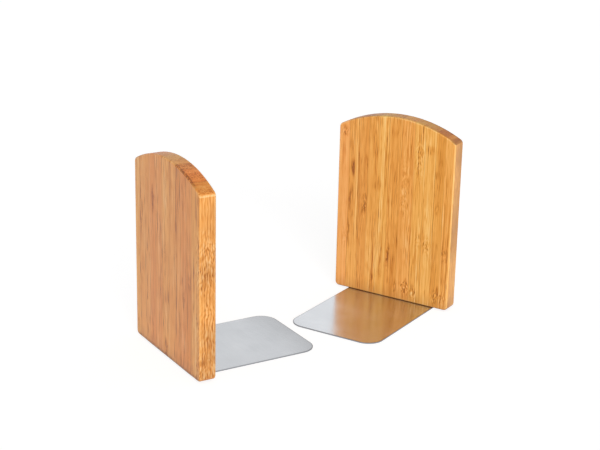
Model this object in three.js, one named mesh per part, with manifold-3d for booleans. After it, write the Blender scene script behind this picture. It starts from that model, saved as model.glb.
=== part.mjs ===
// A pair of free-standing bookends: arched boards glued up from upright bamboo staves, each
// screwed from below to a thin sheet steel plate that slides under the books.
// Millimetres, +Z up. A bookend is drawn with its board's book side at x = 0, its plate
// reaching along +X, its width along Y and the table at z = 0.

import * as THREE from 'three';
import { mergeVertices } from 'three/addons/utils/BufferGeometryUtils.js';
import Module from 'manifold-3d';

const wasm = await Module();
wasm.setup();

// Board
const boardWidth = 120;
const boardThickness = 15;
const boardHeight = 174;
const archRise = 15;
const archCornerRadius = 4;
const footCornerRadius = 4;
const edgeEase = 1.5;
const glueLine = 0.1;

// The widths of the staves in a row, from the -Y edge, as shares of their sum
const rightStaveShares = [11.5, 11.5, 9, 11, 10, 13, 13.5, 10.5, 11, 9.5, 9.5];
const leftStaveShares = [14, 9, 10.5, 9.5, 11.5, 13, 12.5, 11, 9.5, 10, 9.5];
// How pale each stave is between the darkest and the lightest bamboo
const staveToneShares = [0.45, 0.3, 0.7, 0.4, 0.85, 0.35, 0.55, 0.2, 0.6, 0.5, 0.75];

// Plate
const plateWidth = 90;
const plateReach = 108;
const plateThickness = 1;
const plateCornerRadius = 15;
const plateRearInset = 1.5;
const plateRearCornerRadius = 3;
const plateEdgeBreak = 0.15;

// Countersunk wood screws, heads below
const screwCount = 3;
const screwEdgeDistance = 11;
const screwLength = 20;
const screwShankDiameter = 3;
const screwPointLength = 4;
const screwHeadDiameter = 6;
const screwHeadRim = 0.3;
const screwHeadSink = 0.1;
const recessSpan = 3.2;
const recessWidth = 0.9;
const recessDepth = 1.1;
const screwClearance = 0.3;

// The pair: how far the left plate's end stays off the near corner of the right plate, how
// far that corner lies beside the left plate's middle, and how far the left one is turned
const plateEndGap = 4.4;
const plateEndShift = 18.3;
const leftTurn = THREE.MathUtils.degToRad(-26.6);

// How far a cutting tool runs past what it cuts
const overrun = 2;

// Facets of the round stretches
const archSegments = 44;
const cornerSegments = 6;
const bevelSegments = 3;
const turnedSegments = 24;

// A closed mesh as a solid that can be cut, without the triangles a lathe folds on its axis
function toSolid(geometry) {
  const bare = geometry.clone();
  bare.deleteAttribute('normal');
  bare.deleteAttribute('uv');
  const merged = mergeVertices(bare);
  const corners = merged.index.array;
  const triangles = [];
  for (let i = 0; i < corners.length; i += 3) {
    const [a, b, c] = corners.slice(i, i + 3);
    if (a !== b && b !== c && c !== a) triangles.push(a, b, c);
  }
  return new wasm.Manifold(new wasm.Mesh({
    numProp: 3,
    vertProperties: Float32Array.from(merged.attributes.position.array),
    triVerts: Uint32Array.from(triangles),
  }));
}

function toGeometry(solid) {
  const cut = solid.getMesh();
  const geometry = new THREE.BufferGeometry();
  geometry.setAttribute('position', new THREE.BufferAttribute(cut.vertProperties, cut.numProp));
  geometry.setIndex(new THREE.BufferAttribute(cut.triVerts, 1));
  geometry.computeVertexNormals();
  return geometry;
}

function namedMesh(name, solid, material) {
  const mesh = new THREE.Mesh(toGeometry(solid), material);
  mesh.name = name;
  return mesh;
}

function bambooMaterial(paleness) {
  const color = new THREE.Color(0xc98a4e).lerp(new THREE.Color(0xf0b877), paleness);
  return new THREE.MeshStandardMaterial({ color, roughness: 0.45, metalness: 0 });
}

function steelMaterial() {
  return new THREE.MeshStandardMaterial({ color: 0xc4c8cc, roughness: 0.3, metalness: 1 });
}

function zincMaterial() {
  return new THREE.MeshStandardMaterial({ color: 0xb0b3b5, roughness: 0.4, metalness: 1 });
}

// The points of an arc in an outline
function arc(x, y, radius, start, end, segments) {
  return new THREE.EllipseCurve(x, y, radius, radius, start, end).getPoints(segments);
}

// An outline pulled up into a slab whose edges are rounded or broken all round
function easedSlab(outline, thickness, ease, segments) {
  return new THREE.ExtrudeGeometry(new THREE.Shape(outline), {
    depth: thickness - 2 * ease,
    bevelSize: ease,
    bevelThickness: ease,
    bevelOffset: -ease,
    bevelSegments: segments,
  }).translate(0, 0, ease);
}

// The board as the books see it: straight sides and a low arch, with the corners between
// them rounded by arcs that touch both
function boardOutline() {
  const half = boardWidth / 2;
  const archRadius = (half ** 2 + archRise ** 2) / (2 * archRise);
  const archCentre = boardHeight - archRadius;
  const cornerX = half - archCornerRadius;
  const cornerRise = Math.sqrt((archRadius - archCornerRadius) ** 2 - cornerX ** 2);
  const cornerY = archCentre + cornerRise;
  const archStart = Math.atan2(cornerRise, cornerX);
  const archEnd = Math.PI - archStart;
  const footX = half - footCornerRadius;
  const footY = footCornerRadius;
  return [
    ...arc(footX, footY, footCornerRadius, -Math.PI / 2, 0, cornerSegments),
    ...arc(cornerX, cornerY, archCornerRadius, 0, archStart, cornerSegments),
    ...arc(0, archCentre, archRadius, archStart, archEnd, archSegments).slice(1, -1),
    ...arc(-cornerX, cornerY, archCornerRadius, archEnd, Math.PI, cornerSegments),
    ...arc(-footX, footY, footCornerRadius, -Math.PI, -Math.PI / 2, cornerSegments),
  ];
}

// The board stood on the plate, with its book side at x = 0
function boardSolid() {
  const slab = easedSlab(boardOutline(), boardThickness, edgeEase, bevelSegments);
  slab.rotateX(Math.PI / 2).rotateZ(Math.PI / 2);
  slab.translate(-boardThickness, 0, plateThickness);
  return toSolid(slab);
}

// The plate from above, with wide round corners in front and small ones under the board
function plateOutline() {
  const frontX = plateReach - plateCornerRadius;
  const frontY = plateWidth / 2 - plateCornerRadius;
  const rearX = plateRearInset - boardThickness + plateRearCornerRadius;
  const rearY = plateWidth / 2 - plateRearCornerRadius;
  const turn = Math.PI / 2;
  return [
    ...arc(frontX, -frontY, plateCornerRadius, -turn, 0, cornerSegments * 2),
    ...arc(frontX, frontY, plateCornerRadius, 0, turn, cornerSegments * 2),
    ...arc(rearX, rearY, plateRearCornerRadius, turn, Math.PI, cornerSegments),
    ...arc(rearX, -rearY, plateRearCornerRadius, -Math.PI, -turn, cornerSegments),
  ];
}

function plateSolid() {
  return toSolid(easedSlab(plateOutline(), plateThickness, plateEdgeBreak, bevelSegments));
}

// A form turned about Z from its profile of [radius, height] points
function turned(profile) {
  const points = profile.map(([radius, height]) => new THREE.Vector2(radius, height));
  return toSolid(new THREE.LatheGeometry(points, turnedSegments).rotateX(Math.PI / 2));
}

// The cross-shaped driver recess, run out below the head
function recessSolid() {
  const arm = recessSpan / 2;
  const side = recessWidth / 2;
  const points = [];
  for (let quarter = 0; quarter < 4; quarter += 1) {
    const corners = [[arm, -side], [arm, side], [side, side]];
    const centre = new THREE.Vector2();
    corners.forEach(([x, y]) => {
      points.push(new THREE.Vector2(x, y).rotateAround(centre, quarter * Math.PI / 2));
    });
  }
  const depth = overrun + screwHeadSink + recessDepth;
  const cross = new THREE.ExtrudeGeometry(new THREE.Shape(points), { depth, bevelEnabled: false });
  return toSolid(cross.translate(0, 0, -overrun));
}

// A countersunk screw pointing up, its flat head just inside the plate's underside
function screwSolid() {
  const head = screwHeadDiameter / 2;
  const shank = screwShankDiameter / 2;
  const coneStart = screwHeadSink + screwHeadRim;
  const tip = screwHeadSink + screwLength;
  const body = turned([
    [0, screwHeadSink],
    [head, screwHeadSink],
    [head, coneStart],
    [shank, coneStart + head - shank],
    [shank, tip - screwPointLength],
    [0, tip],
  ]);
  return body.subtract(recessSolid());
}

// The countersunk hole for it, with its clearance all round and the drill's point on top
function screwHole() {
  const head = screwHeadDiameter / 2 + screwClearance;
  const shank = screwShankDiameter / 2 + screwClearance;
  const coneStart = screwHeadSink + screwHeadRim;
  const end = screwHeadSink + screwLength + screwClearance;
  return turned([
    [0, -overrun],
    [head, -overrun],
    [head, coneStart],
    [shank, coneStart + head - shank],
    [shank, end],
    [0, end + shank],
  ]);
}

// The screws stand in a row under the middle of the board's thickness, the outer ones near
// the plate's long edges
function screwPlaces() {
  const first = screwEdgeDistance - plateWidth / 2;
  const spacing = (-2 * first) / (screwCount - 1);
  return Array.from({ length: screwCount }, (_, index) => {
    return [-boardThickness / 2, first + index * spacing, 0];
  });
}

function cutHoles(solid) {
  return screwPlaces().reduce((rest, place) => rest.subtract(screwHole().translate(place)), solid);
}

// The board sawn into its staves, with a glue line left between neighbours
function staveSolids(board, shares) {
  const unit = boardWidth / shares.reduce((sum, share) => sum + share, 0);
  const last = shares.length - 1;
  let joint = -boardWidth / 2;
  return shares.map((share, index) => {
    const start = index === 0 ? joint - overrun : joint + glueLine / 2;
    joint += share * unit;
    const end = index === last ? joint + overrun : joint - glueLine / 2;
    const depth = boardThickness + 2 * overrun;
    const slab = new THREE.BoxGeometry(depth, end - start, boardHeight + 2 * overrun);
    slab.translate(-boardThickness / 2, (start + end) / 2, plateThickness + boardHeight / 2);
    return board.intersect(toSolid(slab));
  });
}

// One bookend: its staves, its plate and its screws
function bookend(side, staveShares) {
  const group = new THREE.Group();
  staveSolids(cutHoles(boardSolid()), staveShares).forEach((stave, index) => {
    const number = String(index + 1).padStart(2, '0');
    const paleness = staveToneShares[index % staveToneShares.length];
    group.add(namedMesh(`${side}_stave_${number}`, stave, bambooMaterial(paleness)));
  });
  group.add(namedMesh(`${side}_base_plate`, cutHoles(plateSolid()), steelMaterial()));
  screwPlaces().forEach((place, index) => {
    const screw = namedMesh(`${side}_screw_${index + 1}`, screwSolid(), zincMaterial());
    screw.position.set(...place);
    group.add(screw);
  });
  return group;
}

// The left bookend's place, measured from the right plate's corner next to it
function leftPlace() {
  const along = new THREE.Vector3(Math.cos(leftTurn), Math.sin(leftTurn), 0);
  const across = new THREE.Vector3(-along.y, along.x, 0);
  return new THREE.Vector3(-plateReach, plateWidth / 2, 0)
    .addScaledVector(along, -plateReach - plateEndGap)
    .addScaledVector(across, -plateEndShift);
}

// The pair as it is used, facing each other, with the left one turned a little
const right = bookend('right', rightStaveShares);
right.rotation.z = Math.PI;
const left = bookend('left', leftStaveShares);
left.rotation.z = leftTurn;
left.position.copy(leftPlace());

// The origin is on the table under the middle of the pair
const pair = new THREE.Group();
pair.add(right, left);
const middle = new THREE.Box3().setFromObject(pair, true).getCenter(new THREE.Vector3());
pair.position.set(-middle.x, -middle.y, 0);

export default pair;
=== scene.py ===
import math
from collections import namedtuple

import bmesh
import bpy
from mathutils import Matrix, Quaternion, Vector

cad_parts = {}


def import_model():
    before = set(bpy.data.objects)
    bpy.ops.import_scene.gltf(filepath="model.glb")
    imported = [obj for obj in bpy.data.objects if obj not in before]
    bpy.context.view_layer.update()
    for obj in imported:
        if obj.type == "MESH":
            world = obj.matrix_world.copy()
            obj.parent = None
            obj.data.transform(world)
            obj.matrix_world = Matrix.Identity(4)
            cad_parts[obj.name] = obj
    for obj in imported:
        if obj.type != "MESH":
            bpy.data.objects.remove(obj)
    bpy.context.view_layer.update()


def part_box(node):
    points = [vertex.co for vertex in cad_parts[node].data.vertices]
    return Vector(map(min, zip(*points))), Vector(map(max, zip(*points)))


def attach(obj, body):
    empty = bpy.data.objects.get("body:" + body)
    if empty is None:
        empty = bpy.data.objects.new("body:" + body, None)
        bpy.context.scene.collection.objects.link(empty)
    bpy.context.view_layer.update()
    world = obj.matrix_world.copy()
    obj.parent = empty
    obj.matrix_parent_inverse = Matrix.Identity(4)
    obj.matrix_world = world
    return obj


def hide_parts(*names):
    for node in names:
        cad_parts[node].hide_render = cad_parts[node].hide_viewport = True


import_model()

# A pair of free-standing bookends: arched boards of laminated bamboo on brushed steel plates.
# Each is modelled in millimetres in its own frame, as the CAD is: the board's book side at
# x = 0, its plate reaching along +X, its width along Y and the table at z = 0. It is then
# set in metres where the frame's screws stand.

MM = 0.001
UP = Vector((0, 0, 1))

# How near two coordinates in mm count as the same
SAME = 0.01

# How far a cutting tool runs past what it cuts
OVERRUN = 2

# Edges that turn further than this stay crisp
SHARP_ANGLE = math.radians(35)

# A face whose normal is at least this upright is one of a sheet's two flat sides
FLAT_SIDE = 0.9

# Board
BOARD_WIDTH = 120
BOARD_THICKNESS = 15
BOARD_HEIGHT = 174
ARCH_RISE = 15
ARCH_CORNER_RADIUS = 4
FOOT_CORNER_RADIUS = 4
ARRIS_RADIUS = 1.5
ARCH_STEPS = 44
CORNER_STEPS = 6
ARRIS_STEPS = 4

# Plate
PLATE_WIDTH = 90
PLATE_REACH = 108
PLATE_THICKNESS = 1
PLATE_REAR_INSET = 1.5
PLATE_REAR = PLATE_REAR_INSET - BOARD_THICKNESS
PLATE_LENGTH = PLATE_REACH - PLATE_REAR
PLATE_CORNER_RADIUS = 15
PLATE_REAR_CORNER_RADIUS = 3
PLATE_EDGE_BREAK = 0.15
PLATE_CORNER_STEPS = 20
PLATE_EDGE_STEPS = 2
PLATE_RIM = 0.9

# Countersunk wood screws
SCREW_LENGTH = 20
SCREW_HEAD_RADIUS = 3
SCREW_HEAD_RIM = 0.3
SCREW_HEAD_SINK = 0.1
SCREW_HEAD_CONE = SCREW_HEAD_SINK + SCREW_HEAD_RIM
SCREW_TIP = SCREW_HEAD_SINK + SCREW_LENGTH
SHANK_RADIUS = 1.5
CORE_RADIUS = 1.05
SMOOTH_SHANK_END = 6.5
SHANK_STEP = 0.4
POINT_LENGTH = 4
POINT_BLUNTNESS = 0.05
THREAD_PITCH = 1.35
THREAD_FOOT = 0.45
THREAD_BITE = 0.1
RECESS_SPAN = 3.2
RECESS_WIDTH = 0.9
RECESS_DEPTH = 1.1
RECESS_TAPER = 0.55
HOLE_CLEARANCE = 0.3
TURNED_STEPS = 32
THREAD_STEPS = 20

# The strips of each board in a row, from the edge at -Y: share of the width, how pale and how
# reddish it is from 0 to 1, and its knuckles, which are the joints of the cane. A knuckle has
# its place across the strip from -1 to 1, its height, half its breadth and half its length in
# mm, how dark its stain is, and how lively the figure of the wood is there. PLAIN leaves no
# mark and stands in where a strip has fewer knuckles than the material reads.
Strip = namedtuple("Strip", "share paleness redness knuckles")
Knuckle = namedtuple("Knuckle", "across height breadth reach stain figure")
PLAIN = Knuckle(0, 0, 1, 1, 0, 0)
RIGHT_STRIPS = [
    Strip(11.5, 0.80, 0.65, [Knuckle(0.2, 155, 6, 7, 0.4, 1.5), Knuckle(0.5, 50, 3, 14, 0.2, 0.5)]),
    Strip(11.5, 0.58, 0.15, [Knuckle(-0.2, 120, 2.4, 11, 1.5, 0.6),
                             Knuckle(-0.5, 93, 1.6, 16, 1.0, 0.2),
                             Knuckle(-0.9, 58, 1.6, 24, 1.0, 0.4)]),
    Strip(9.0, 0.28, 0.2, [Knuckle(0.3, 86, 4, 14, 0.5, 1.5), Knuckle(0.8, 127, 1.5, 11, 0.7, 0.2)]),
    Strip(11.0, 0.45, 0.1, [Knuckle(0.2, 12, 2, 14, 0.6, 0.2), Knuckle(0.8, 108, 3, 7, 0.5, 0.1)]),
    Strip(10.0, 0.62, 0.0, [Knuckle(-0.8, 108, 3, 7, 0.6, 0.1), Knuckle(0.2, 24, 3, 9, 0.1, 0.5)]),
    Strip(13.0, 0.36, 0.2, [Knuckle(-0.6, 42, 2, 17, 0.8, 1.1), Knuckle(0.8, 13, 3, 9, 0.4, 0.9)]),
    Strip(13.5, 0.53, 0.35, [Knuckle(0.3, 14, 6, 10, 0.5, 1.6), Knuckle(-0.3, 108, 7, 34, 0, 0.9)]),
    Strip(10.5, 0.66, 0.0, [Knuckle(0.0, 140, 7, 26, 0, 0.9), Knuckle(-0.2, 12, 5, 8, 0.4, 1.5),
                            Knuckle(0.4, 62, 4, 9, 0.2, 1.0)]),
    Strip(11.0, 0.84, 0.0, [Knuckle(0, 150, 7, 6, 0.6, 0.3), Knuckle(0.0, 60, 5, 12, 0.2, 1.3)]),
    Strip(9.5, 0.32, 0.0, [Knuckle(0.9, 18, 2, 6, 0.8, 0.4), Knuckle(0.2, 11, 5, 8, 0.2, 1.3),
                           Knuckle(-0.2, 96, 3, 9, 0.2, 0.4)]),
    Strip(9.5, 0.60, 0.2, [Knuckle(-0.3, 12, 5, 8, 0.3, 1.4), Knuckle(-0.1, 54, 4, 10, 0.2, 0.9)]),
]
LEFT_STRIPS = [
    Strip(14.0, 0.54, 0.5, [Knuckle(-1, 101, 11, 36, 0, 1.3), Knuckle(-1, 12, 11, 18, 0, 1.3),
                            Knuckle(-1, 46, 11, 30, 0, 0.8)]),
    Strip(9.0, 0.36, 0.9, [Knuckle(0.1, 82, 3, 10, 0.4, 0.7), Knuckle(0.0, 14, 3, 9, 0.2, 0.6)]),
    Strip(10.5, 0.42, 1.0, [Knuckle(-0.3, 68, 2, 10, 0.4, 0.5), Knuckle(0.2, 140, 3, 9, 0.2, 0.3)]),
    Strip(9.5, 0.34, 0.8, [Knuckle(0.9, 128, 1.5, 26, 0.6, 0.2), Knuckle(-0.2, 30, 3, 9, 0.2, 0.4)]),
    Strip(11.5, 0.60, 0.7, [Knuckle(-0.9, 118, 1.5, 26, 0.5, 0.2), Knuckle(0.1, 35, 3, 8, 0.2, 0.4)]),
    Strip(13.0, 0.64, 0.6, [Knuckle(0.2, 98, 2.5, 12, 0.4, 0.6), Knuckle(0.1, 9, 4.5, 10, 1.3, 1.4)]),
    Strip(12.5, 0.52, 0.9, [Knuckle(0.3, 116, 2.2, 10, 0.6, 0.5), Knuckle(-0.1, 58, 2.5, 13, 0.6, 0.4)]),
    Strip(11.0, 0.44, 1.0, [Knuckle(-0.1, 134, 3.5, 14, 1.1, 0.6), Knuckle(0.2, 20, 3, 8, 0.2, 0.4)]),
    Strip(9.5, 0.62, 0.7, [Knuckle(0.0, 152, 3, 8, 0.2, 0.4), Knuckle(0.1, 45, 3, 9, 0.2, 0.4)]),
    Strip(10.0, 0.60, 0.65, [Knuckle(0.2, 108, 3, 9, 0.3, 0.5), Knuckle(0.0, 70, 2, 9, 0.4, 0.4)]),
    Strip(9.5, 0.74, 0.5, [Knuckle(0.0, 88, 3, 9, 0.2, 0.5), Knuckle(0.1, 15, 3, 9, 0.3, 0.6)]),
]
KNUCKLES_A_STRIP = 3

# Half a knuckle's size through the board in mm, so large that both faces show it
KNUCKLE_DEPTH = 30

# Each strip's noise starts this far from its neighbour's
SEED_STEP = 7.3

# The bamboo's layers: waves of noise per mm along X, Y and Z, and how much finer detail each
# has. Bands are about 3 mm wide, streaks 1.3 mm, bundles 0.7 mm and fibres 0.4 mm, all long
# along Z. The layers of the second table bend round the knuckles.
STRAIGHT_LAYERS = {"swirl": ((0.16, 0.20, 0.10), 2), "waver": ((0.4, 0.4, 0.10), 1),
                   "liveliness": ((0.05, 0.09, 0.014), 1), "rings": ((0.08, 0.5, 0.05), 1)}
BENT_LAYERS = {"bands": ((0.28, 0.36, 0.005), 1), "streaks": ((0.60, 0.75, 0.010), 0),
               "bundles": ((1.20, 1.45, 0.018), 1), "fibres": ((2.0, 2.4, 0.06), 1),
               "dashes": ((1.3, 1.5, 0.09), 0), "curls": ((1.45, 1.20, 0.22), 1)}

# How far apart the slivers lie in mm. Real ones lie closer than 1 mm; these are as coarse as
# they need to be to show.
SLIVER_SPACING = 2.4

# The bamboo's colour from its darkest fibres to its palest
TANS = [(0.0, "#8F4C14"), (0.25, "#CA7E2B"), (0.5, "#EAA249"), (0.75, "#F9BD65"), (1.0, "#FFD68E")]

# How grey each plate is, and the rim of both, from 0 to 1. The left plate's grey is a painted
# reflection of a darker part of the room; the rim's grey is partly its dull broken edge and
# partly painted shade that draws its dark outline
RIGHT_PAINTED_REFLECTION = 0.0
LEFT_PAINTED_REFLECTION = 0.28
RIM_DULLNESS_AND_SHADE = 0.7

# The camera stands low on the near side, left of the pair. Its place and sight are in metres,
# its lens and sensor in mm.
CAMERA_PLACE = Vector((-1.00936, -0.64796, 0.50030))
CAMERA_HEADING = math.radians(32.12)
CAMERA_PITCH = math.radians(18.54)
CAMERA_ROLL = math.radians(1.27)
CAMERA_LENS = 87.7
CAMERA_SENSOR = 36
CAMERA_SIGHT = 20

# The table's half side and how far it lies under the plates, in metres, and how brightly it
# glows where it is seen
TABLE_REACH = 4
TABLE_DROP = 0.2 * MM
TABLE_GLOW = 0.82

# Where the broad lamp is seen from the pair, and the room's light at the horizon and overhead
KEY_DIRECTION = Vector((-0.69, -0.69, 0.24))
KEY_STRENGTH = 2.28
KEY_SOFTNESS = math.radians(35)
ROOM_AT_HORIZON = 0.68
ROOM_OVERHEAD = 0.26


def linear(hex_colour):
    """An sRGB hex colour as the linear RGBA that sockets take."""
    channels = [int(hex_colour[i:i + 2], 16) / 255 for i in (1, 3, 5)]
    return [c / 12.92 if c <= 0.04045 else ((c + 0.055) / 1.055) ** 2.4 for c in channels] + [1]


def add(tree, kind, inputs=None, **settings):
    """One shader node with its settings. An input is a value, a socket, or a node that feeds
    it from its first output. MapRange takes its value as 0 and turns what lies between 1 and 2
    into what lies between 3 and 4. A colour Mix blends 6 with 7."""
    node = tree.nodes.new("ShaderNode" + kind)
    for name, value in settings.items():
        setattr(node, name, value)
    for key, value in (inputs or {}).items():
        if isinstance(value, bpy.types.Node):
            value = value.outputs[0]
        if isinstance(value, bpy.types.NodeSocket):
            tree.links.new(value, node.inputs[key])
        else:
            node.inputs[key].default_value = value
    return node


def blank_material(name):
    """A new material without any nodes, and its node tree."""
    material = bpy.data.materials.new(name)
    material.use_nodes = True
    material.node_tree.nodes.clear()
    return material, material.node_tree


# What the bamboo's nodes know of a point: its place in the bookend in mm, whole and as X, Y
# and Z; how far it is from the board's middle along Y; how far its surface faces up or down;
# whether it is on a narrow side, the outer face or end grain, each from 0 to 1; and what its
# strip is painted with
Point = namedtuple("Point", "place at off_centre upright narrow_side outer_face end_grain "
                            "paleness redness seed scorched")


def strip_point(tree):
    """All of this, for the point that is shaded."""
    place = add(tree, "Attribute", attribute_name="grain").outputs["Vector"]
    at = add(tree, "SeparateXYZ", {0: place}).outputs
    off_centre = add(tree, "Math", {0: at["Y"]}, operation="ABSOLUTE")
    normal = add(tree, "NewGeometry").outputs["Normal"]
    upright = add(tree, "SeparateXYZ", {0: normal}).outputs["Z"]
    upright = add(tree, "Math", {0: upright}, operation="ABSOLUTE")
    narrow_side = add(tree, "MapRange", {0: off_centre, 1: BOARD_WIDTH / 2 - 1.2,
                                         2: BOARD_WIDTH / 2 - 0.4, 3: 0, 4: 1})
    outer_face = add(tree, "MapRange", {0: at["X"], 1: 1.5 - BOARD_THICKNESS,
                                        2: 0.2 - BOARD_THICKNESS, 3: 0, 4: 1})
    end_grain = add(tree, "MapRange", {0: upright, 1: 0.3, 2: 0.85, 3: 0, 4: 1})
    painted = [add(tree, "Attribute", attribute_name=name).outputs["Fac"]
               for name in ("paleness", "redness", "seed", "scorched")]
    return Point(place, at, off_centre, upright, narrow_side, outer_face, end_grain, *painted)


def grain_layers(tree, place, seed, layers):
    """Noise stretched along the grain for each layer, different in every strip."""
    noise = {}
    for name, (scale, detail) in layers.items():
        stretched = add(tree, "Mapping", {"Vector": place, "Scale": scale})
        noise[name] = add(tree, "TexNoise", {"Vector": stretched, "W": seed, "Scale": 1,
                                             "Detail": detail}, noise_dimensions="4D")
    return noise


def knuckle_nodes(tree, place, swirl, number):
    """The stain and the liveliness that one knuckle gives a point of its strip, and the arches
    there: the cone of wood under the knuckle, cut by the faces of the strip."""
    centre, size, look = (
        add(tree, "Attribute", attribute_name=f"knuckle_{number}{part}").outputs["Vector"]
        for part in ("", "_size", "_look"))
    offset = add(tree, "VectorMath", {0: place, 1: centre}, operation="SUBTRACT")
    offset = add(tree, "VectorMath", {0: offset, 1: swirl}, operation="ADD")
    scaled = add(tree, "VectorMath", {0: offset, 1: size}, operation="DIVIDE")
    reach = add(tree, "VectorMath", {0: scaled}, operation="LENGTH").outputs["Value"]
    inside = add(tree, "MapRange", {0: reach, 1: 1.2, 2: 0.25, 3: 0, 4: 1},
                 interpolation_type="SMOOTHSTEP")
    look = add(tree, "VectorMath", {0: look, "Scale": inside}, operation="SCALE")
    girth = add(tree, "VectorMath", {0: offset, 1: (0.5, 1, 0)}, operation="MULTIPLY")
    girth = add(tree, "VectorMath", {0: girth}, operation="LENGTH").outputs["Value"]
    offset = add(tree, "SeparateXYZ", {0: offset}).outputs
    cone = add(tree, "Math", {0: offset["Z"], 1: 0.35, 2: girth}, operation="MULTIPLY_ADD")
    arches = add(tree, "CombineXYZ", {0: cone, 1: offset["Y"], 2: offset["Z"]})
    arches = add(tree, "Mapping", {"Vector": arches, "Scale": (1.0, 0.15, 0.08)})
    arches = add(tree, "TexNoise", {"Vector": arches, "Scale": 1, "Detail": 1})
    arches = add(tree, "MapRange", {0: arches, 1: 0.38, 2: 0.62, 3: -1, 4: 1})
    figure = add(tree, "SeparateXYZ", {0: look}).outputs["Y"]
    return look, add(tree, "Math", {0: arches, 1: figure}, operation="MULTIPLY")


def knuckles(tree, place, swirl):
    """The stain, the liveliness and the arches that a strip's knuckles give a point."""
    look = (0, 0, 0)
    arches = 0
    for number in range(1, KNUCKLES_A_STRIP + 1):
        part, arc = knuckle_nodes(tree, place, swirl, number)
        look = add(tree, "VectorMath", {0: look, 1: part}, operation="ADD")
        arches = add(tree, "Math", {0: arches, 1: arc}, operation="ADD")
    look = add(tree, "SeparateXYZ", {0: look}).outputs
    return look["X"], look["Y"], arches


def slivers(tree, point, figure, noise):
    """Wavering lines in broken lengths, where a strip's own layers are cut aslant: all along
    the board's narrow sides, and round the knuckles of its faces."""
    waver = add(tree, "Math", {0: noise["waver"], 1: 0.5}, operation="SUBTRACT")
    swing = add(tree, "Math", {0: figure, 1: 14, 2: 8}, operation="MULTIPLY_ADD")
    waver = add(tree, "Math", {0: waver, 1: swing}, operation="MULTIPLY")
    across = add(tree, "Mix", {"Factor": point.narrow_side, 2: point.at["Y"], 3: point.at["X"]})
    lines = add(tree, "Math", {0: across, 1: math.tau / SLIVER_SPACING, 2: waver},
                operation="MULTIPLY_ADD")
    lines = add(tree, "Math", {0: lines}, operation="SINE")
    broken = add(tree, "MapRange", {0: noise["dashes"], 1: 0.35, 2: 0.6, 3: 0.1, 4: 1})
    on_faces = add(tree, "Math", {0: figure, 1: 0.45}, operation="MULTIPLY")
    on_sides = add(tree, "Math", {0: figure, 1: 0.6, 2: 0.6}, operation="MULTIPLY_ADD")
    crisp = add(tree, "Mix", {"Factor": point.narrow_side, 2: on_faces, 3: on_sides})
    for part in (broken, crisp):
        lines = add(tree, "Math", {0: lines, 1: part}, operation="MULTIPLY")
    return lines


def fibre_tone(tree, point, noise, dashes, calm):
    """How much paler or darker the fibres make a point. Some stretches of a strip are livelier
    than others, and so are the ends and the outer face, while the narrow sides are calm."""
    tone = 0
    for layer, middle, strength in ((noise["bands"], 0.5, 0.30), (noise["streaks"], 0.5, 0.40),
                                    (noise["bundles"], 0.5, 0.85), (noise["fibres"], 0.5, 0.75),
                                    (dashes, 0.1, -0.22)):
        part = add(tree, "Math", {0: layer, 1: middle}, operation="SUBTRACT")
        tone = add(tree, "Math", {0: part, 1: strength, 2: tone}, operation="MULTIPLY_ADD")
    lively = add(tree, "MapRange", {0: noise["liveliness"], 1: 0.35, 2: 0.65, 3: 0.45, 4: 1.5})
    ends = add(tree, "MapRange", {0: point.end_grain, 1: 0, 2: 1, 3: 1, 4: 1.2})
    outside = add(tree, "MapRange", {0: point.outer_face, 1: 0, 2: 1, 3: 1, 4: 1.2})
    for part in (lively, ends, outside, calm, calm):
        tone = add(tree, "Math", {0: tone, 1: part}, operation="MULTIPLY")
    return tone


def end_tone(tree, point, noise):
    """How much paler or darker a point of the end grain is: it shows the cane's layers as bands
    across the arch, and makes a pale strip paler and a dark one darker."""
    tone = add(tree, "Math", {0: noise["rings"], 1: 0.66}, operation="SUBTRACT")
    tone = add(tree, "Math", {0: point.paleness, 1: 0.5, 2: tone}, operation="MULTIPLY_ADD")
    return add(tree, "Math", {0: tone, 1: point.end_grain}, operation="MULTIPLY")


def painted_highlight_tone(tree, point):
    """How much a painted highlight makes a point paler: a line along the arrises, stronger on the
    book side, and another at one end of the arch, where it turns into the upright side."""
    depth = add(tree, "Math", {0: point.at["X"], 1: BOARD_THICKNESS / 2}, operation="ADD")
    depth = add(tree, "Math", {0: depth}, operation="ABSOLUTE")
    depth = add(tree, "Math", {0: BOARD_THICKNESS / 2, 1: depth}, operation="SUBTRACT")
    # The arrises get a painted highlight, stronger on the book side
    arris = add(tree, "MapRange", {0: point.at["X"], 1: -BOARD_THICKNESS, 2: 0, 3: 0.10, 4: 0.32})
    for start, end in ((0.02, 0.3), (ARRIS_RADIUS, 0.5)):
        part = add(tree, "MapRange", {0: depth, 1: start, 2: end, 3: 0, 4: 1})
        arris = add(tree, "Math", {0: arris, 1: part}, operation="MULTIPLY")
    turn = 0.4
    for source, start, end in ((point.upright, 0.05, 0.15), (point.upright, 0.6, 0.4),
                               (point.at["Y"], 3 - BOARD_WIDTH / 2, 1.5 - BOARD_WIDTH / 2),
                               (point.at["Z"], 100, 110)):
        part = add(tree, "MapRange", {0: source, 1: start, 2: end, 3: 0, 4: 1})
        turn = add(tree, "Math", {0: turn, 1: part}, operation="MULTIPLY")
    return add(tree, "Math", {0: arris, 1: turn}, operation="ADD")


def tan_ramp(tree, value):
    """The colour of a point that is as pale as the value says."""
    colour = add(tree, "ValToRGB", {0: value})
    ramp = colour.color_ramp
    while len(ramp.elements) < len(TANS):
        ramp.elements.new(0.5)
    for element, (position, shade) in zip(ramp.elements, TANS):
        element.position = position
        element.color = linear(shade)
    return colour.outputs["Color"]


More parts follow.
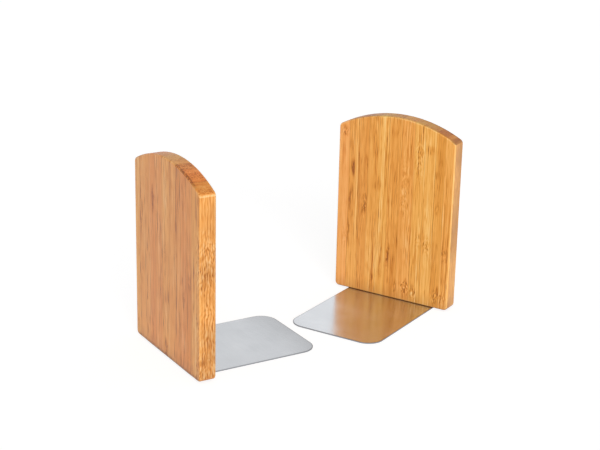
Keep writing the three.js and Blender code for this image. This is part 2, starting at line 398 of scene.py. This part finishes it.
def reddened(tree, point, colour):
    """Some cane is redder. End grain drinks the lacquer and turns oranger, but for the arch's
    crown, which is kept pale as a painted sheen."""
    red = add(tree, "Mix", {"Factor": point.redness, 6: colour, 7: linear("#FFEAFF")},
              data_type="RGBA", blend_type="MULTIPLY")
    slope = add(tree, "MapRange", {0: point.off_centre, 1: 10, 2: 34, 3: 0, 4: 1})
    # The crown's paler tint is a painted sheen
    crown = add(tree, "Mix", {"Factor": point.redness, 6: linear("#EDE8B8"),
                              7: linear("#F8EED2")}, data_type="RGBA")
    ends = add(tree, "Mix", {"Factor": point.redness, 6: linear("#D0B27A"),
                             7: linear("#FFE3B4")}, data_type="RGBA")
    tint = add(tree, "Mix", {"Factor": slope, 6: crown.outputs[2], 7: ends.outputs[2]},
               data_type="RGBA")
    return add(tree, "Mix", {"Factor": point.end_grain, 6: red.outputs[2], 7: tint.outputs[2]},
               data_type="RGBA", blend_type="MULTIPLY").outputs[2]


def painted_rear_shade(tree, point, uneven):
    """How much painted shade darkens a point: the arch's outer arris, which turns from the light,
    in dashes, most towards its ends but not to the corner at -Y, and all of the corner at +Y."""
    dark = add(tree, "MapRange", {0: point.at["X"], 1: -12.5, 2: -13.3, 3: 0, 4: 1})
    cut_up = add(tree, "MapRange", {0: point.upright, 1: 0.2, 2: 0.45, 3: 0, 4: 1})
    ends = add(tree, "MapRange", {0: point.off_centre, 1: 12, 2: 30, 3: 0, 4: 1})
    spared = add(tree, "MapRange", {0: point.at["Y"], 1: -54, 2: -46, 3: 0, 4: 1})
    for part in (cut_up, ends, uneven, spared, point.scorched):
        dark = add(tree, "Math", {0: dark, 1: part}, operation="MULTIPLY")
    corner = add(tree, "MapRange", {0: point.at["Y"], 1: 53, 2: 58, 3: 0, 4: 0.6})
    corner = add(tree, "Math", {0: corner, 1: cut_up}, operation="MULTIPLY")
    return add(tree, "Math", {0: dark, 1: corner}, operation="MAXIMUM")


def painted_foot_shade(tree, point, uneven):
    """How much a point of the foot is darkened: a painted contact shadow beside the plate,
    painted shade fading out upwards, and darker dashes along the outer face."""
    height = point.at["Z"]
    # A painted contact shadow where the foot meets the plate, and painted shade fading upwards
    wedge = add(tree, "MapRange", {0: height, 1: 1.5, 2: 2.6, 3: 0.8, 4: 0})
    faded = add(tree, "MapRange", {0: height, 1: 1, 2: 14, 3: 0.28, 4: 0})
    dashes = add(tree, "MapRange", {0: height, 1: 3, 2: 5.5, 3: 0.9, 4: 0})
    for part in (point.outer_face, uneven):
        dashes = add(tree, "Math", {0: dashes, 1: part}, operation="MULTIPLY")
    dark = add(tree, "Math", {0: wedge, 1: faded}, operation="MAXIMUM")
    return add(tree, "Math", {0: dark, 1: dashes}, operation="MAXIMUM")


def glue_line(tree, point):
    """How strongly the brown glue shows at a point: a thin line along each joint, stronger in
    some stretches than in others."""
    joint = add(tree, "Attribute", attribute_name="joint").outputs["Vector"]
    joint = add(tree, "SeparateXYZ", {0: joint}).outputs
    low = add(tree, "Math", {0: point.at["Y"], 1: joint["X"]}, operation="SUBTRACT")
    high = add(tree, "Math", {0: joint["Y"], 1: point.at["Y"]}, operation="SUBTRACT")
    edge = add(tree, "Math", {0: low, 1: high}, operation="MINIMUM")
    line = add(tree, "MapRange", {0: edge, 1: 0.05, 2: 0.35, 3: 0.45, 4: 0})
    stretch = add(tree, "Mapping", {"Vector": point.place, "Scale": (0.02, 0.05, 0.02)})
    stretch = add(tree, "TexNoise", {"Vector": stretch, "Scale": 1, "Detail": 2})
    stretch = add(tree, "MapRange", {0: stretch, 1: 0.4, 2: 0.65, 3: 0.15, 4: 1})
    return add(tree, "Math", {0: line, 1: stretch}, operation="MULTIPLY")


def bamboo():
    """Laminated bamboo, planed, sanded and sprayed with a satin clear lacquer: warm tan strips
    of different paleness, long fine fibres with darker dashes, swirled brown knuckles, and a
    thin veil of shine over all of it."""
    material, tree = blank_material("laminated_bamboo_satin_lacquered")
    point = strip_point(tree)
    noise = grain_layers(tree, point.place, point.seed, STRAIGHT_LAYERS)

    # The swirl bends the fibres round a knuckle by up to 2 mm, in lumps of about 6 mm
    swirl = add(tree, "VectorMath", {0: noise["swirl"].outputs["Color"], 1: (0.5, 0.5, 0.5)},
                operation="SUBTRACT")
    swirl = add(tree, "VectorMath", {0: swirl, "Scale": 6}, operation="SCALE")
    stain, figure, arches = knuckles(tree, point.place, swirl)
    calm = add(tree, "MapRange", {0: point.narrow_side, 1: 0, 2: 1, 3: 1, 4: 0.5})
    figure = add(tree, "Math", {0: figure, 1: calm}, operation="MULTIPLY")
    bend = add(tree, "VectorMath", {0: swirl, "Scale": figure}, operation="SCALE")
    bend = add(tree, "VectorMath", {0: bend, 1: (0.6, 0.6, 0)}, operation="MULTIPLY")
    bent = add(tree, "VectorMath", {0: point.place, 1: bend}, operation="ADD")
    noise.update(grain_layers(tree, bent, point.seed, BENT_LAYERS))
    dashes = add(tree, "MapRange", {0: noise["dashes"], 1: 0.58, 2: 0.72, 3: 0, 4: 1})
    curls = add(tree, "MapRange", {0: noise["curls"], 1: 0.38, 2: 0.62, 3: -1, 4: 1})
    curls = add(tree, "Math", {0: curls, 1: figure}, operation="MULTIPLY")

    # How pale the point is: its strip's own tone, what the wood and the maker do to it, and a painted
    # highlight along the arrises
    value = add(tree, "MapRange", {0: point.paleness, 1: 0, 2: 1, 3: 0.34, 4: 0.75})
    for tone, strength in ((fibre_tone(tree, point, noise, dashes, calm), 1), (arches, 0.10),
                           (curls, 0.15), (slivers(tree, point, figure, noise), 0.45),
                           (stain, -0.30), (end_tone(tree, point, noise), 0.8),
                           (painted_highlight_tone(tree, point), 1)):
        value = add(tree, "Math", {0: tone, 1: strength, 2: value}, operation="MULTIPLY_ADD")
    colour = reddened(tree, point, tan_ramp(tree, value))

    # Painted shade on the arch's outer arris and at the foot falls more on some bundles of fibres than
    # on others
    uneven = add(tree, "MapRange", {0: noise["bundles"], 1: 0.42, 2: 0.56, 3: 0.1, 4: 1})
    dark = add(tree, "Math", {0: painted_rear_shade(tree, point, uneven), 1: painted_foot_shade(tree, point, uneven)},
               operation="MAXIMUM")
    # Painted shade darkens the wood, and the glue shows brown
    for factor, shade in ((dark, "#7A3F10"), (glue_line(tree, point), "#7A431B")):
        colour = add(tree, "Mix", {"Factor": factor, 6: colour, 7: linear(shade)},
                     data_type="RGBA").outputs[2]

    # The lacquer fills most of the pores, so the relief is a few hundredths of a millimetre
    relief = add(tree, "Math", {0: noise["fibres"], 1: dashes}, operation="SUBTRACT")
    bump = add(tree, "Bump", {"Height": relief, "Strength": 0.5, "Distance": 0.04 * MM})
    gloss = add(tree, "MapRange", {0: noise["bundles"], 1: 0.3, 2: 0.7, 3: 0.40, 4: 0.52})
    gloss = add(tree, "Math", {0: point.end_grain, 1: 0.15, 2: gloss}, operation="MULTIPLY_ADD")
    shader = add(tree, "BsdfPrincipled", {
        "Base Color": colour, "Roughness": gloss, "IOR": 1.5, "Normal": bump,
        "Specular IOR Level": 0.35, "Coat Weight": 0.26, "Coat Roughness": 0.18,
        "Coat IOR": 1.5})
    add(tree, "OutputMaterial", {"Surface": shader})
    return material


def brushed_steel():
    """Stainless steel sheet, rolled and brushed across its length with a fine belt: it mirrors
    what stands on it, sharp along the scratches and smeared the other way."""
    material, tree = blank_material("stainless_steel_brushed")
    place = add(tree, "Attribute", attribute_name="grain").outputs["Vector"]
    smear = add(tree, "Attribute", attribute_name="smear").outputs["Vector"]

    # Scratches about 0.5 mm apart and 30 mm long, coarser than real ones so that they show
    scratches = add(tree, "Mapping", {"Vector": place, "Scale": (2.0, 0.03, 1.0)})
    scratches = add(tree, "TexNoise", {"Vector": scratches, "Scale": 1, "Detail": 3,
                                       "Roughness": 0.7})
    cloud = add(tree, "Mapping", {"Vector": place, "Scale": (0.03, 0.03, 0.03)})
    cloud = add(tree, "TexNoise", {"Vector": cloud, "Scale": 1, "Detail": 2})
    mottle = add(tree, "Math", {0: scratches, 1: cloud}, operation="ADD")
    light = add(tree, "MapRange", {0: mottle, 1: 0.6, 2: 1.4, 3: 0, 4: 1})
    shade = add(tree, "Mix", {"Factor": light, 6: linear("#CCCFD4"), 7: linear("#E4E7EB")},
                data_type="RGBA")

    # The rim is dull where the burr was taken off, and painted shade darkens it further; the
    # greyer sheet is a painted reflection of a darker part of the room, and darkens to its free end
    tone = add(tree, "Attribute", attribute_name="tone").outputs["Fac"]
    free_end = add(tree, "SeparateXYZ", {0: place}).outputs["X"]
    free_end = add(tree, "MapRange", {0: free_end, 1: PLATE_REACH * 0.7, 2: PLATE_REACH,
                                      3: 0.9, 4: 1.8})
    tone = add(tree, "Math", {0: tone, 1: free_end}, operation="MULTIPLY")
    shade = add(tree, "Mix", {"Factor": tone, 6: shade.outputs[2], 7: linear("#7E7E80")},
                data_type="RGBA")
    gloss = add(tree, "MapRange", {0: mottle, 1: 0.7, 2: 1.3, 3: 0.17, 4: 0.25})
    bump = add(tree, "Bump", {"Height": scratches, "Strength": 0.3, "Distance": 0.01 * MM})
    shader = add(tree, "BsdfPrincipled", {
        "Base Color": shade.outputs[2], "Metallic": 1, "Roughness": gloss, "Normal": bump,
        "Anisotropic": 0.9, "Tangent": smear})
    add(tree, "OutputMaterial", {"Surface": shader})
    return material


def sheared_edge():
    """The same sheet where it was blanked and its burr taken off: greyer and duller, with
    upright drag lines about 0.3 mm apart."""
    material, tree = blank_material("stainless_steel_sheared")
    place = add(tree, "Attribute", attribute_name="grain").outputs["Vector"]
    drag = add(tree, "Mapping", {"Vector": place, "Scale": (3.0, 3.0, 0.4)})
    drag = add(tree, "TexNoise", {"Vector": drag, "Scale": 1, "Detail": 2})
    shade = add(tree, "Mix", {"Factor": drag, 6: linear("#888B90"), 7: linear("#AAADB2")},
                data_type="RGBA")
    bump = add(tree, "Bump", {"Height": drag, "Strength": 0.4, "Distance": 0.02 * MM})
    shader = add(tree, "BsdfPrincipled", {
        "Base Color": shade.outputs[2], "Metallic": 1, "Roughness": 0.42, "Normal": bump})
    add(tree, "OutputMaterial", {"Surface": shader})
    return material


def zinc_plate():
    """Wood screws, rolled and bright zinc plated: a pale bluish grey with cloudy patches a
    little over 1 mm across."""
    material, tree = blank_material("steel_bright_zinc_plated")
    place = add(tree, "Attribute", attribute_name="grain").outputs["Vector"]
    cloud = add(tree, "Mapping", {"Vector": place, "Scale": (0.8, 0.8, 0.8)})
    cloud = add(tree, "TexNoise", {"Vector": cloud, "Scale": 1, "Detail": 3})
    shade = add(tree, "Mix", {"Factor": cloud, 6: linear("#A6ABB0"), 7: linear("#CDD1D4")},
                data_type="RGBA")
    gloss = add(tree, "MapRange", {0: cloud, 1: 0.3, 2: 0.7, 3: 0.28, 4: 0.42})
    shader = add(tree, "BsdfPrincipled", {
        "Base Color": shade.outputs[2], "Metallic": 1, "Roughness": gloss})
    add(tree, "OutputMaterial", {"Surface": shader})
    return material


def mesh_of(bm, name):
    """The bmesh as a mesh, with its faces turned outwards."""
    bmesh.ops.recalc_face_normals(bm, faces=bm.faces)
    mesh = bpy.data.meshes.new(name)
    bm.to_mesh(mesh)
    bm.free()
    return mesh


def combined(mesh, tool, operation):
    """A new mesh, made of two closed ones by a Boolean."""
    body = bpy.data.objects.new("body", mesh)
    cutter = bpy.data.objects.new("cutter", tool)
    for part in (body, cutter):
        bpy.context.collection.objects.link(part)
    boolean = body.modifiers.new("boolean", "BOOLEAN")
    boolean.object = cutter
    boolean.operation = operation
    boolean.solver = "EXACT"
    depsgraph = bpy.context.evaluated_depsgraph_get()
    result = bpy.data.meshes.new_from_object(body.evaluated_get(depsgraph))
    for part in (body, cutter):
        bpy.data.objects.remove(part)
    return result


def turned(profile, name):
    """A closed form spun about Z from its profile of (radius, height) points."""
    bm = bmesh.new()
    points = [bm.verts.new((radius, 0, height)) for radius, height in profile]
    edges = [bm.edges.new(pair) for pair in zip(points, points[1:])]
    bmesh.ops.spin(bm, geom=points + edges, axis=UP, cent=(0, 0, 0), angle=math.tau,
                   steps=TURNED_STEPS, use_merge=True)
    bmesh.ops.remove_doubles(bm, verts=bm.verts, dist=SAME / 10)
    return mesh_of(bm, name)


def bevel(bm, edges, offset, steps):
    bmesh.ops.bevel(bm, geom=edges, offset=offset, offset_type="OFFSET", segments=steps,
                    profile=0.5, affect="EDGES", material=-1, clamp_overlap=False)


def board_blank():
    """The whole board before it is sawn into strips, standing on the plate."""
    half = BOARD_WIDTH / 2
    foot = PLATE_THICKNESS
    crown = foot + BOARD_HEIGHT
    spring = crown - ARCH_RISE
    radius = (half ** 2 + ARCH_RISE ** 2) / (2 * ARCH_RISE)
    slope = math.asin(half / radius)
    bm = bmesh.new()
    feet = [bm.verts.new((0, side, foot)) for side in (-half, half)]
    start = bm.verts.new((0, -half, spring))
    arch = bmesh.ops.spin(bm, geom=[start], cent=(0, 0, crown - radius), axis=(1, 0, 0),
                          angle=-2 * slope, steps=ARCH_STEPS)
    end = next(item for item in arch["geom_last"] if isinstance(item, bmesh.types.BMVert))
    for pair in ((start, feet[0]), feet, (feet[1], end)):
        bm.edges.new(pair)
    face = bmesh.ops.contextual_create(bm, geom=bm.edges)["faces"]
    back = bmesh.ops.extrude_face_region(bm, geom=face)["geom"]
    bmesh.ops.translate(bm, vec=(-BOARD_THICKNESS, 0, 0),
                        verts=[item for item in back if isinstance(item, bmesh.types.BMVert)])
    bmesh.ops.recalc_face_normals(bm, faces=bm.faces)

    def through(height):
        """The edges through the board at both of its sides, at a height."""
        return [edge for edge in bm.edges
                if abs(edge.verts[0].co.x - edge.verts[1].co.x) > BOARD_THICKNESS / 2
                and all(abs(vert.co.z - height) < SAME for vert in edge.verts)
                and all(abs(vert.co.y) > half - SAME for vert in edge.verts)]

    # A rounded corner starts as far from the sharp one as its radius times the tangent of half
    # its turn
    arch_corner = ARCH_CORNER_RADIUS * math.tan((math.pi / 2 - slope) / 2)
    bevel(bm, through(foot), FOOT_CORNER_RADIUS, CORNER_STEPS)
    bevel(bm, through(spring), arch_corner, CORNER_STEPS)
    rims = [edge for edge in bm.edges if abs(edge.verts[0].co.x - edge.verts[1].co.x) < SAME]
    bevel(bm, rims, ARRIS_RADIUS, ARRIS_STEPS)
    return bm


def sawn_strip(blank, low, high):
    """The board's strip between two saw cuts across Y; None leaves that side as it is."""
    bm = blank.copy()
    for cut, side in ((low, -1), (high, 1)):
        if cut is None:
            continue
        split = bmesh.ops.bisect_plane(bm, geom=bm.verts[:] + bm.edges[:] + bm.faces[:],
                                       plane_co=(0, cut, 0), plane_no=(0, side, 0),
                                       clear_outer=True)
        rim = [item for item in split["geom_cut"] if isinstance(item, bmesh.types.BMEdge)]
        bmesh.ops.contextual_create(bm, geom=rim)
    return mesh_of(bm, "strip")


def plate_sheet():
    """The plate, cut from sheet and with its edges broken, before it is drilled."""
    bm = bmesh.new()
    bmesh.ops.create_cube(bm, size=1)
    bmesh.ops.scale(bm, vec=(PLATE_LENGTH, PLATE_WIDTH, PLATE_THICKNESS), verts=bm.verts)
    bmesh.ops.translate(bm, vec=(PLATE_REAR + PLATE_LENGTH / 2, 0, PLATE_THICKNESS / 2),
                        verts=bm.verts)

    def uprights(x):
        return [edge for edge in bm.edges
                if edge.calc_length() == abs(edge.verts[0].co.z - edge.verts[1].co.z)
                and abs(edge.verts[0].co.x - x) < SAME]

    bevel(bm, uprights(PLATE_REACH), PLATE_CORNER_RADIUS, PLATE_CORNER_STEPS)
    bevel(bm, uprights(PLATE_REAR), PLATE_REAR_CORNER_RADIUS, CORNER_STEPS)
    rims = [edge for edge in bm.edges if abs(edge.verts[0].co.z - edge.verts[1].co.z) < SAME]
    bevel(bm, rims, PLATE_EDGE_BREAK, PLATE_EDGE_STEPS)
    flats = [face for face in bm.faces if face.calc_area() > PLATE_WIDTH * PLATE_WIDTH]
    bmesh.ops.inset_region(bm, faces=flats, thickness=PLATE_RIM, use_even_offset=True)
    return mesh_of(bm, "plate_sheet")


def on_rim(vert):
    """Whether a point of the plate is on its outline or the dull rim along it."""
    corner = PLATE_REAR_CORNER_RADIUS if vert.co.x < 0 else PLATE_CORNER_RADIUS
    x = abs(vert.co.x - PLATE_REAR - PLATE_LENGTH / 2) - PLATE_LENGTH / 2 + corner
    y = abs(vert.co.y) - PLATE_WIDTH / 2 + corner
    depth = corner - math.hypot(max(x, 0), max(y, 0)) - min(max(x, y), 0)
    return depth < PLATE_RIM / 2


def screw_hole():
    """The solid of a countersunk hole, with the drill's point on top."""
    head = SCREW_HEAD_RADIUS + HOLE_CLEARANCE
    shank = SHANK_RADIUS + HOLE_CLEARANCE
    end = SCREW_TIP + HOLE_CLEARANCE
    return turned([(0, -OVERRUN), (head, -OVERRUN), (head, SCREW_HEAD_CONE),
                   (shank, SCREW_HEAD_CONE + head - shank), (shank, end), (0, end + shank)],
                  "screw_hole")


def screw_thread():
    """A ridge wound round the core, which runs out along the point."""
    turns = (SCREW_TIP - SMOOTH_SHANK_END) / THREAD_PITCH - 1
    foot = CORE_RADIUS - THREAD_BITE
    bm = bmesh.new()
    corners = [(foot, -THREAD_FOOT / 2), (SHANK_RADIUS, 0), (foot, THREAD_FOOT / 2)]
    verts = [bm.verts.new((radius, 0, SMOOTH_SHANK_END + height)) for radius, height in corners]
    first = bm.faces.new(verts)
    bmesh.ops.spin(bm, geom=[first], cent=(0, 0, 0), axis=UP, angle=turns * math.tau,
                   steps=int(turns * THREAD_STEPS), dvec=(0, 0, THREAD_PITCH / THREAD_STEPS))
    for vert in bm.verts:
        taper = min(1, max(POINT_BLUNTNESS, (SCREW_TIP - vert.co.z) / POINT_LENGTH))
        vert.co.x *= taper
        vert.co.y *= taper
    return mesh_of(bm, "screw_thread")


def recess_arm(turn):
    """One arm across the driver recess, narrower at its bottom."""
    depth = RECESS_DEPTH + OVERRUN
    bm = bmesh.new()
    bmesh.ops.create_cube(bm, size=1)
    bmesh.ops.scale(bm, vec=(RECESS_SPAN, RECESS_WIDTH, depth), verts=bm.verts)
    bmesh.ops.translate(bm, vec=(0, 0, SCREW_HEAD_SINK + RECESS_DEPTH - depth / 2), verts=bm.verts)
    bottom = [vert for vert in bm.verts if vert.co.z > 0]
    bmesh.ops.scale(bm, vec=(RECESS_TAPER, RECESS_TAPER, 1), verts=bottom)
    bmesh.ops.rotate(bm, matrix=Matrix.Rotation(turn, 3, UP), verts=bm.verts, cent=(0, 0, 0))
    return mesh_of(bm, "recess_arm")


def screw():
    """A countersunk wood screw pointing up, its flat head just inside the plate's underside."""
    body = turned([
        (0, SCREW_HEAD_SINK), (SCREW_HEAD_RADIUS, SCREW_HEAD_SINK),
        (SCREW_HEAD_RADIUS, SCREW_HEAD_CONE),
        (SHANK_RADIUS, SCREW_HEAD_CONE + SCREW_HEAD_RADIUS - SHANK_RADIUS),
        (SHANK_RADIUS, SMOOTH_SHANK_END - SHANK_STEP), (CORE_RADIUS, SMOOTH_SHANK_END),
        (CORE_RADIUS, SCREW_TIP - POINT_LENGTH), (0, SCREW_TIP)], "screw")
    body = combined(body, screw_thread(), "UNION")
    for turn in (0, math.pi / 2):
        body = combined(body, recess_arm(turn), "DIFFERENCE")
    return body


def screw_centres(side):
    """The middles of a side's three screws in the frame, from the board's edge at -Y."""
    boxes = [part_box(f"{side}_screw_{number}") for number in (1, 2, 3)]
    return [(low + high) / 2 for low, high in boxes]


def screw_row():
    """Where the three screws stand along Y in their bookend."""
    centres = screw_centres("right")
    return [(centre - centres[1]).length / MM * sign for centre, sign in zip(centres, (-1, 0, 1))]


def bookend_place(side):
    """Where a bookend stands: its screws are in a row under the middle of its board."""
    first, middle, last = screw_centres(side)
    across = (last - first).normalized()
    along = across.cross(UP)
    origin = middle + along * BOARD_THICKNESS / 2 * MM
    origin.z = 0
    turn = Matrix((along, across, UP)).transposed().to_4x4()
    return Matrix.Translation(origin) @ turn @ Matrix.Scale(MM, 4)


def paint(mesh, name, value):
    """Gives every point of a mesh the same number or vector, for its material to read."""
    vector = not isinstance(value, (int, float))
    attribute = mesh.attributes.new(name, "FLOAT_VECTOR" if vector else "FLOAT", "POINT")
    count = len(mesh.vertices)
    if vector:
        attribute.data.foreach_set("vector", list(value) * count)
    else:
        attribute.data.foreach_set("value", [value] * count)


def set_piece(name, mesh, place, materials, node):
    """Stands a mesh in its place as a piece of the scene. Its points keep where they were in
    their own bookend, in mm, for the grain to follow."""
    own_place = [coordinate for vert in mesh.vertices for coordinate in vert.co]
    grain = mesh.attributes.new("grain", "FLOAT_VECTOR", "POINT")
    grain.data.foreach_set("vector", own_place)
    mesh.transform(place)
    mesh.shade_smooth()
    mesh.set_sharp_from_angle(angle=SHARP_ANGLE)
    mesh.materials.clear()
    for material in materials:
        mesh.materials.append(material)
    piece = bpy.data.objects.new(name, mesh)
    bpy.context.collection.objects.link(piece)
    shading = piece.modifiers.new("shading", "WEIGHTED_NORMAL")
    shading.keep_sharp = True
    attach(piece, "root")
    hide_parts(node)
    return piece


def bored(mesh, hole, y):
    """The mesh with a hole from below, for the screw that stands at y under the board."""
    bore = hole.copy()
    bore.transform(Matrix.Translation((-BOARD_THICKNESS / 2, y, 0)))
    return combined(mesh, bore, "DIFFERENCE")


def paint_strip(mesh, strip, number, low, high):
    """The strip's own look: how pale it is, where its knuckles are, and where it is glued."""
    middle = (low + high) / 2
    half = (high - low) / 2
    paint(mesh, "paleness", strip.paleness)
    paint(mesh, "redness", strip.redness)
    paint(mesh, "seed", number * SEED_STEP)
    paint(mesh, "joint", (low, high, 0))
    spare = [PLAIN] * (KNUCKLES_A_STRIP - len(strip.knuckles))
    for index, knuckle in enumerate(strip.knuckles + spare, 1):
        across = middle + knuckle.across * half
        paint(mesh, f"knuckle_{index}", (-BOARD_THICKNESS / 2, across, knuckle.height))
        paint(mesh, f"knuckle_{index}_size", (KNUCKLE_DEPTH, knuckle.breadth, knuckle.reach))
        paint(mesh, f"knuckle_{index}_look", (knuckle.stain, knuckle.figure, 0))


def stand_board(side, strips, blank, hole, row, material):
    """The strips of one board, those over a screw bored for it."""
    place = bookend_place(side)
    unit = BOARD_WIDTH / sum(strip.share for strip in strips)
    low = -BOARD_WIDTH / 2

    # The left board's strips are numbered on from the right one's, so that no two are alike
    first = 1 if side == "right" else 1 + len(RIGHT_STRIPS)
    for index, strip in enumerate(strips):
        high = low + strip.share * unit
        mesh = sawn_strip(blank, low if index else None,
                          high if index < len(strips) - 1 else None)
        for y in row:
            if low < y < high:
                mesh = bored(mesh, hole, y)
        paint_strip(mesh, strip, first + index, low, high)

        # The far half of the left board's arch gets no painted shade on its outer arris
        paint(mesh, "scorched", 0.0 if side == "left" and low > 0 else 1.0)
        number = f"{index + 1:02d}"
        set_piece(f"{side}_strip_{number}", mesh, place, [material],
                  f"{side}_stave_{number}")
        low = high


def lay_plate(side, painted_reflection, sheet, hole, row, materials):
    """One plate, drilled and countersunk from below, its cut edges in their own material."""
    mesh = sheet.copy()
    for y in row:
        mesh = bored(mesh, hole, y)
    place = bookend_place(side)
    paint(mesh, "smear", place.to_3x3().col[0].normalized())
    # The tone is a painted reflection on the sheet, and partly painted shade on the rim
    tone = mesh.attributes.new("tone", "FLOAT", "POINT")
    tone.data.foreach_set("value", [RIM_DULLNESS_AND_SHADE if on_rim(vert) else painted_reflection
                                    for vert in mesh.vertices])
    plate = set_piece(f"{side}_plate", mesh, place, materials,
                      f"{side}_base_plate")
    for face in plate.data.polygons:
        face.material_index = 0 if abs(face.normal.z) > FLAT_SIDE else 1


def drive_screws(side, driven, row, material):
    place = bookend_place(side)
    for number, y in enumerate(row, 1):
        mesh = driven.copy()
        mesh.transform(Matrix.Translation((-BOARD_THICKNESS / 2, y, 0)))
        set_piece(f"{side}_wood_screw_{number}", mesh, place, [material],
                  f"{side}_screw_{number}")


def camera():
    data = bpy.data.cameras.new("camera")
    data.lens = CAMERA_LENS
    data.sensor_width = CAMERA_SENSOR
    data.clip_end = CAMERA_SIGHT
    stand = bpy.data.objects.new("camera", data)
    bpy.context.collection.objects.link(stand)
    level = Vector((math.cos(CAMERA_HEADING), math.sin(CAMERA_HEADING), 0))
    look = level * math.cos(CAMERA_PITCH) - UP * math.sin(CAMERA_PITCH)
    stand.location = CAMERA_PLACE
    stand.rotation_mode = "QUATERNION"
    stand.rotation_quaternion = look.to_track_quat("-Z", "Y") @ Quaternion(UP, CAMERA_ROLL)
    bpy.context.scene.camera = stand


def seen_directly(tree):
    """1 for rays that show the background: camera, glossy and transmission rays."""
    path = add(tree, "LightPath").outputs
    seen = add(tree, "Math", {0: path["Is Camera Ray"], 1: path["Is Glossy Ray"]},
               operation="MAXIMUM")
    return add(tree, "Math", {0: seen, 1: path["Is Transmission Ray"]}, operation="MAXIMUM")


def floor():
    """A white table top that keeps a soft shadow, and is left out when seen from below."""
    bm = bmesh.new()
    bmesh.ops.create_grid(bm, size=TABLE_REACH)
    bmesh.ops.translate(bm, vec=(0, 0, -TABLE_DROP), verts=bm.verts)
    mesh = mesh_of(bm, "floor")
    material, tree = blank_material("paper_white")
    seen = seen_directly(tree)

    # Where it is seen, the card is darker and glows by the rest, so that shadows stay pale
    card = add(tree, "Mix", {"Factor": seen, 6: linear("#E6E6E6"), 7: linear("#A0A0A0")},
               data_type="RGBA")
    card = add(tree, "BsdfDiffuse", {"Color": card.outputs[2]})
    glow = add(tree, "Math", {0: seen, 1: TABLE_GLOW}, operation="MULTIPLY")
    glow = add(tree, "Emission", {"Color": linear("#FFFFFF"), "Strength": glow})
    top = add(tree, "AddShader", {0: card, 1: glow})
    below = add(tree, "NewGeometry").outputs["Backfacing"]
    clear = add(tree, "BsdfTransparent")
    surface = add(tree, "MixShader", {0: below, 1: top, 2: clear})
    add(tree, "OutputMaterial", {"Surface": surface})
    mesh.materials.append(material)
    table = bpy.data.objects.new("floor", mesh)
    bpy.context.collection.objects.link(table)


def world():
    """A white room: soft light from all round, less of it from above, and white where seen."""
    room = bpy.data.worlds.new("room")
    room.use_nodes = True
    tree = room.node_tree
    tree.nodes.clear()
    height = add(tree, "TexCoord").outputs["Generated"]
    height = add(tree, "SeparateXYZ", {0: height}).outputs["Z"]
    strength = add(tree, "MapRange", {0: height, 1: 0, 2: 1, 3: ROOM_AT_HORIZON,
                                      4: ROOM_OVERHEAD})
    soft = add(tree, "Background", {"Color": linear("#FFFFFF"), "Strength": strength})
    white = add(tree, "Background", {"Color": linear("#FFFFFF"), "Strength": 1})
    mixed = add(tree, "MixShader", {0: seen_directly(tree), 1: soft, 2: white})
    add(tree, "OutputWorld", {"Surface": mixed})
    bpy.context.scene.world = room


def lamp():
    """The key lamp. It isn't mirrored, so that the plates don't glare when seen against it."""
    data = bpy.data.lights.new("key", "SUN")
    data.energy = KEY_STRENGTH
    data.angle = KEY_SOFTNESS
    light = bpy.data.objects.new("key", data)
    light.visible_glossy = False
    light.rotation_mode = "QUATERNION"
    light.rotation_quaternion = KEY_DIRECTION.to_track_quat("Z", "Y")
    bpy.context.collection.objects.link(light)


camera()
bpy.context.scene.view_settings.view_transform = "Standard"

bamboo_material = bamboo()
steel_materials = [brushed_steel(), sheared_edge()]
zinc_material = zinc_plate()
blank = board_blank()
hole = screw_hole()
sheet = plate_sheet()
driven = screw()
row = screw_row()
for side, strips, painted_reflection in (("right", RIGHT_STRIPS, RIGHT_PAINTED_REFLECTION),
                               ("left", LEFT_STRIPS, LEFT_PAINTED_REFLECTION)):
    stand_board(side, strips, blank, hole, row, bamboo_material)
    lay_plate(side, painted_reflection, sheet, hole, row, steel_materials)
    drive_screws(side, driven, row, zinc_material)

floor()
world()
lamp()
